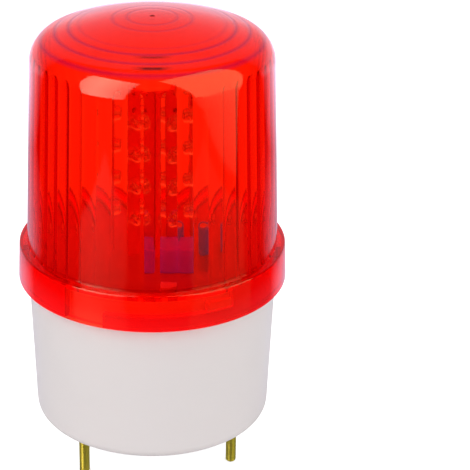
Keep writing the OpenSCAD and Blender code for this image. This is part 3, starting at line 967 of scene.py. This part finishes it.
CHIP = chip_black()
for node in ("rectifier", "controller_chip", "driver_transistors"):
    dress(node, CHIP)
dress("dropper_resistor", resistor_body())
dress("board_screws", bright_metal("screw_steel", (0.85, 0.84, 0.82), (0.72, 0.71, 0.69), 1200,
                                   (0.35, 0.2), 0.45))

# %% [markdown]
# ## White paper
# The beacon stands on its studs on a white table, before a wide white backdrop. More light could
# make them white, but it would bleach the beacon too. So the paper glows just enough to reach white
# for the camera, and for what the lens shows of it, while real light still falls on the table and
# keeps a soft shadow. In a gloss the paper shows dimmer, and only where light would fall on it.

# %% Paper that is white for the camera
THROUGH = 1.14
COOL = (0.94, 0.96, 1.15)
PAPER = ((0.86, 0.86, 0.86), (0.84, 0.84, 0.84))
CAMERA_LIFT = 0.72


def stage_white(name, shine, gleam, clear=lambda look: THROUGH, tone=COOL):
    """Paper with a shine from place to place in a gloss, and a clear level through the lens."""
    look = new_look(name)
    through = look.ray("Transmission")
    paper = look.mix(through, look.mix(look.noise(9), *PAPER), (0, 0, 0))
    lift = look.ray("Camera") * CAMERA_LIFT + through * clear(look)
    lit = look.plastic(Base_Color=paper, Roughness=0.9, Specular_IOR_Level=0.0,
                       Emission_Color=lift, Emission_Strength=1.0)
    polish = look.node("BsdfAnisotropic", {}, {"Color": (gleam,) * 3, "Roughness": 0.12})
    lifted = look.node("Emission", {}, {"Color": look.tint(tone, shine(look))})
    dim = look.node("AddShader", {}, {0: polish, 1: lifted})
    gloss = look.ray("Glossy") * (1 - through)
    return look.surface(look.node("MixShader", {}, {0: gloss, 1: lit, 2: dim}))


print("through the lens the paper has a level of", THROUGH)

# %% Plates of paper
def plate(name, corners, look):
    mesh = bpy.data.meshes.new(name)
    mesh.from_pydata(corners, [], [(0, 1, 2, 3)])
    mesh.materials.append(look)
    made = bpy.data.objects.new(name, mesh)
    bpy.context.scene.collection.objects.link(made)
    print(name, "from", [round(v, 2) for v in corners[0]], "to", [round(v, 2) for v in corners[2]])


def flat(x, y):
    """Corners of a sheet that lies level with the table."""
    return [(x[i], y[j], FLOOR_Z) for i, j in ((0, 0), (1, 0), (1, 1), (0, 1))]


FLOOR_Z = cad_low.z - 0.0002
LEFT, RIGHT, NEAR, FAR, TOP, WIDE = -0.30, 0.34, -0.34, 1.4, 1.8, 3.2
print("the table lies at", round(FLOOR_Z / MM, 1), "mm")

# %% Lay the table
FAR_START, FAR_SHINE = 0.22, 1.4
CUP_R, STUD_POOL = 0.043, 0.24


def far_end(back):
    """The far end of the table and of the sheets beside it catches the backdrop's light."""
    return ((back - FAR_START) * 5).clip() * FAR_SHINE


def table_lit(look):
    """The table shines at its far end, behind the cup, and round the studs from above."""
    back, width = look.along("Y"), abs(look.along("X"))
    aside = (width - CUP_R) / back.at_least(0.03)
    behind = ((2.2 - aside) * 0.8).clip() * ((0.3 - width) * 8).clip() * (back * 20).clip() * 0.5
    away = look.node("VectorMath", {"operation": "LENGTH"}, {0: look.place()}, "Value")
    return behind.at_least(far_end(back)) + (STUD_POOL - away).clip() * 1.5 + 0.01


def near_dim(look):
    """Towards the dim room the table is darker, as the lens shows in its folds of light."""
    return (((look.along("Y") + 0.2) * 6).clip() * 0.4 + 0.6) * THROUGH


TABLE_WHITE = stage_white("table_white", table_lit, 0.06, near_dim, (0.92, 0.94, 1.25))
plate("floor", flat((LEFT, RIGHT), (NEAR, FAR)), TABLE_WHITE)

# %% Hang the backdrop
def foot_lit(look):
    """The backdrop is lit from its foot, so that it fades upwards and sideways."""
    fade = ((WIDE - abs(look.along("X"))) / 1.8).clip()
    return 0.3 / look.along("Z").at_least(0.3) * fade


BACKDROP_WHITE = stage_white("backdrop_white", foot_lit, 0.02)
plate("backdrop", [(-WIDE, FAR, FLOOR_Z), (WIDE, FAR, FLOOR_Z), (WIDE, FAR, TOP), (-WIDE, FAR, TOP)],
      BACKDROP_WHITE)

# %% [markdown]
# ## Sheets beside the table
# The gloss on the sides of the dome shows what lies beside the table, not only what is behind it.
# One huge table could do, but its reflection in the white cup would be too bright. So three sheets
# lie at its sides: one catches the light of the soft box on the right, and two carry on the far end
# of the table to the left and to the right.

# %% Lay the sheets
SIDE_X, SIDE_Y, FAR_Y = (0.378, 1.2), (-0.6, -0.08), (0.1, FAR)


def side_lit(look):
    """The sheet on the right is brighter towards the soft box behind it."""
    return ((look.along("X") - 0.29) * 2.6).at_most(0.78)


def sheet_lit(look):
    """The far sheets are brighter towards the backdrop, and fade out sideways."""
    back = look.along("Y")
    return far_end(back) * ((2.3 - abs(look.along("X")) / back) / 1.3).clip()


SHEET_WHITE = stage_white("sheet_white", side_lit, 0.0, tone=(1.3, 1.35, 0.7))
FAR_WHITE = stage_white("far_white", sheet_lit, 0.0)
plate("side_sheet", flat(SIDE_X, SIDE_Y), SHEET_WHITE)
plate("left_sheet", flat((LEFT, -WIDE), FAR_Y), FAR_WHITE)
plate("right_sheet", flat((RIGHT, WIDE), FAR_Y), FAR_WHITE)

# %% [markdown]
# ## The room
# Round the paper is a room. A plain white world would light the beacon flatly and fill its gloss
# with grey. So the room is white for the camera and through the lens, dimmer behind the camera, and
# nearly black in a gloss, except for a soft light high up at the back, which veils the crown.

# %% Light of the room
HIGH_BACK = (0, 0.8, 0.6)
ROOM_LIGHT = 0.55
world = bpy.data.worlds.new("room")
bpy.context.scene.world = world
room = Look(world)
through = room.ray("Transmission")
facing = room.node("TexCoord", {}, {}, "Generated")
lifted = room.node("VectorMath", {"operation": "DOT_PRODUCT"}, {0: facing, 1: HIGH_BACK}, "Value")
veil = ((lifted - 0.84) * 14).clip() * 0.2 + 0.003
behind = ((room.along("Y", facing) + 0.6) * 2).clip() * 0.4 + 0.6
plain = room.ray("Camera") + through * behind * THROUGH + room.ray("Diffuse") * ROOM_LIGHT
gloss = room.tint(COOL, room.ray("Glossy") * (1 - through) * veil)
glow = room.node("VectorMath", {"operation": "ADD"}, {0: gloss, 1: plain})
room.surface(room.node("Background", {}, {"Color": glow}))

# %% [markdown]
# ## Soft boxes
# Three soft boxes light the beacon and don't show in its gloss. Two others only show there: they
# draw the tall bright panes on the left and on the right of the dome. One set of lamps could do
# both, but then a change to the panes would change the light as well. The left pane is brightest a
# third of the way across, as a box with one tube is.

# %% Place the soft boxes
BOX_AIM = AIM + Vector((0, 0, 0.05))


def softbox(name, turn, up, far, size, glow, tint=(1, 1, 1), mirrored=False):
    """A soft box at an angle to the right of the camera and above the table, facing the beacon."""
    light = bpy.data.lights.new(name, "AREA")
    light.shape = "RECTANGLE"
    light.size, light.size_y = size
    light.energy = glow * math.pi * size[0] * size[1]
    light.color = tint
    made = bpy.data.objects.new(name, light)
    a, e = math.radians(turn), math.radians(up)
    out = Vector((math.sin(a) * math.cos(e), -math.cos(a) * math.cos(e), math.sin(e)))
    made.location = BOX_AIM + far * out
    made.rotation_euler = out.to_track_quat("Z", "Y").to_euler()
    made.visible_camera = False
    made.visible_transmission = not mirrored
    made.visible_diffuse = not mirrored
    made.visible_glossy = mirrored
    bpy.context.scene.collection.objects.link(made)
    print(name, "gives", round(light.energy, 2), "W")
    return light


softbox("key_left", -50, 38, 1.0, (0.55, 0.7), 3.6)
softbox("fill_right", 66, 24, 1.0, (0.8, 0.9), 1.5)
softbox("top", 180, 75, 1.1, (0.6, 0.6), 2.0)
left_front = softbox("left_front", -45, 22, 1.0, (0.84, 1.3), 5.2, (1, 0.86, 0.62), True)
softbox("right_front", 61.5, 30, 1.0, (1.09, 1.7), 2.0, (1, 0.9, 0.42), True)

# %% Grade the left box
TUBE = 0.35
panel = Look(left_front)
across = panel.along("X", panel.node("NewGeometry", {}, {}, "Parametric"))
graded = panel.tint((1, 1, 1), 1.2 - abs(across - TUBE) * 1.2)
panel.surface(panel.node("Emission", {}, {"Color": graded}))

# %% [markdown]
# ## Light through the ribs
# A ray that meets the dome passes through two ribbed walls, the LEDs, and often the skirt as well.
# Blender's usual limit on bounces would end it inside as a black spot. A higher limit costs little
# time here, so clear plastic gets forty.

# %% Bounces and tones
BOUNCES = 40
bpy.context.scene.cycles.max_bounces = BOUNCES
bpy.context.scene.cycles.transmission_bounces = BOUNCES
bpy.context.scene.cycles.glossy_bounces = BOUNCES
bpy.context.scene.view_settings.view_transform = "Standard"
print("a ray may bounce", BOUNCES, "times")
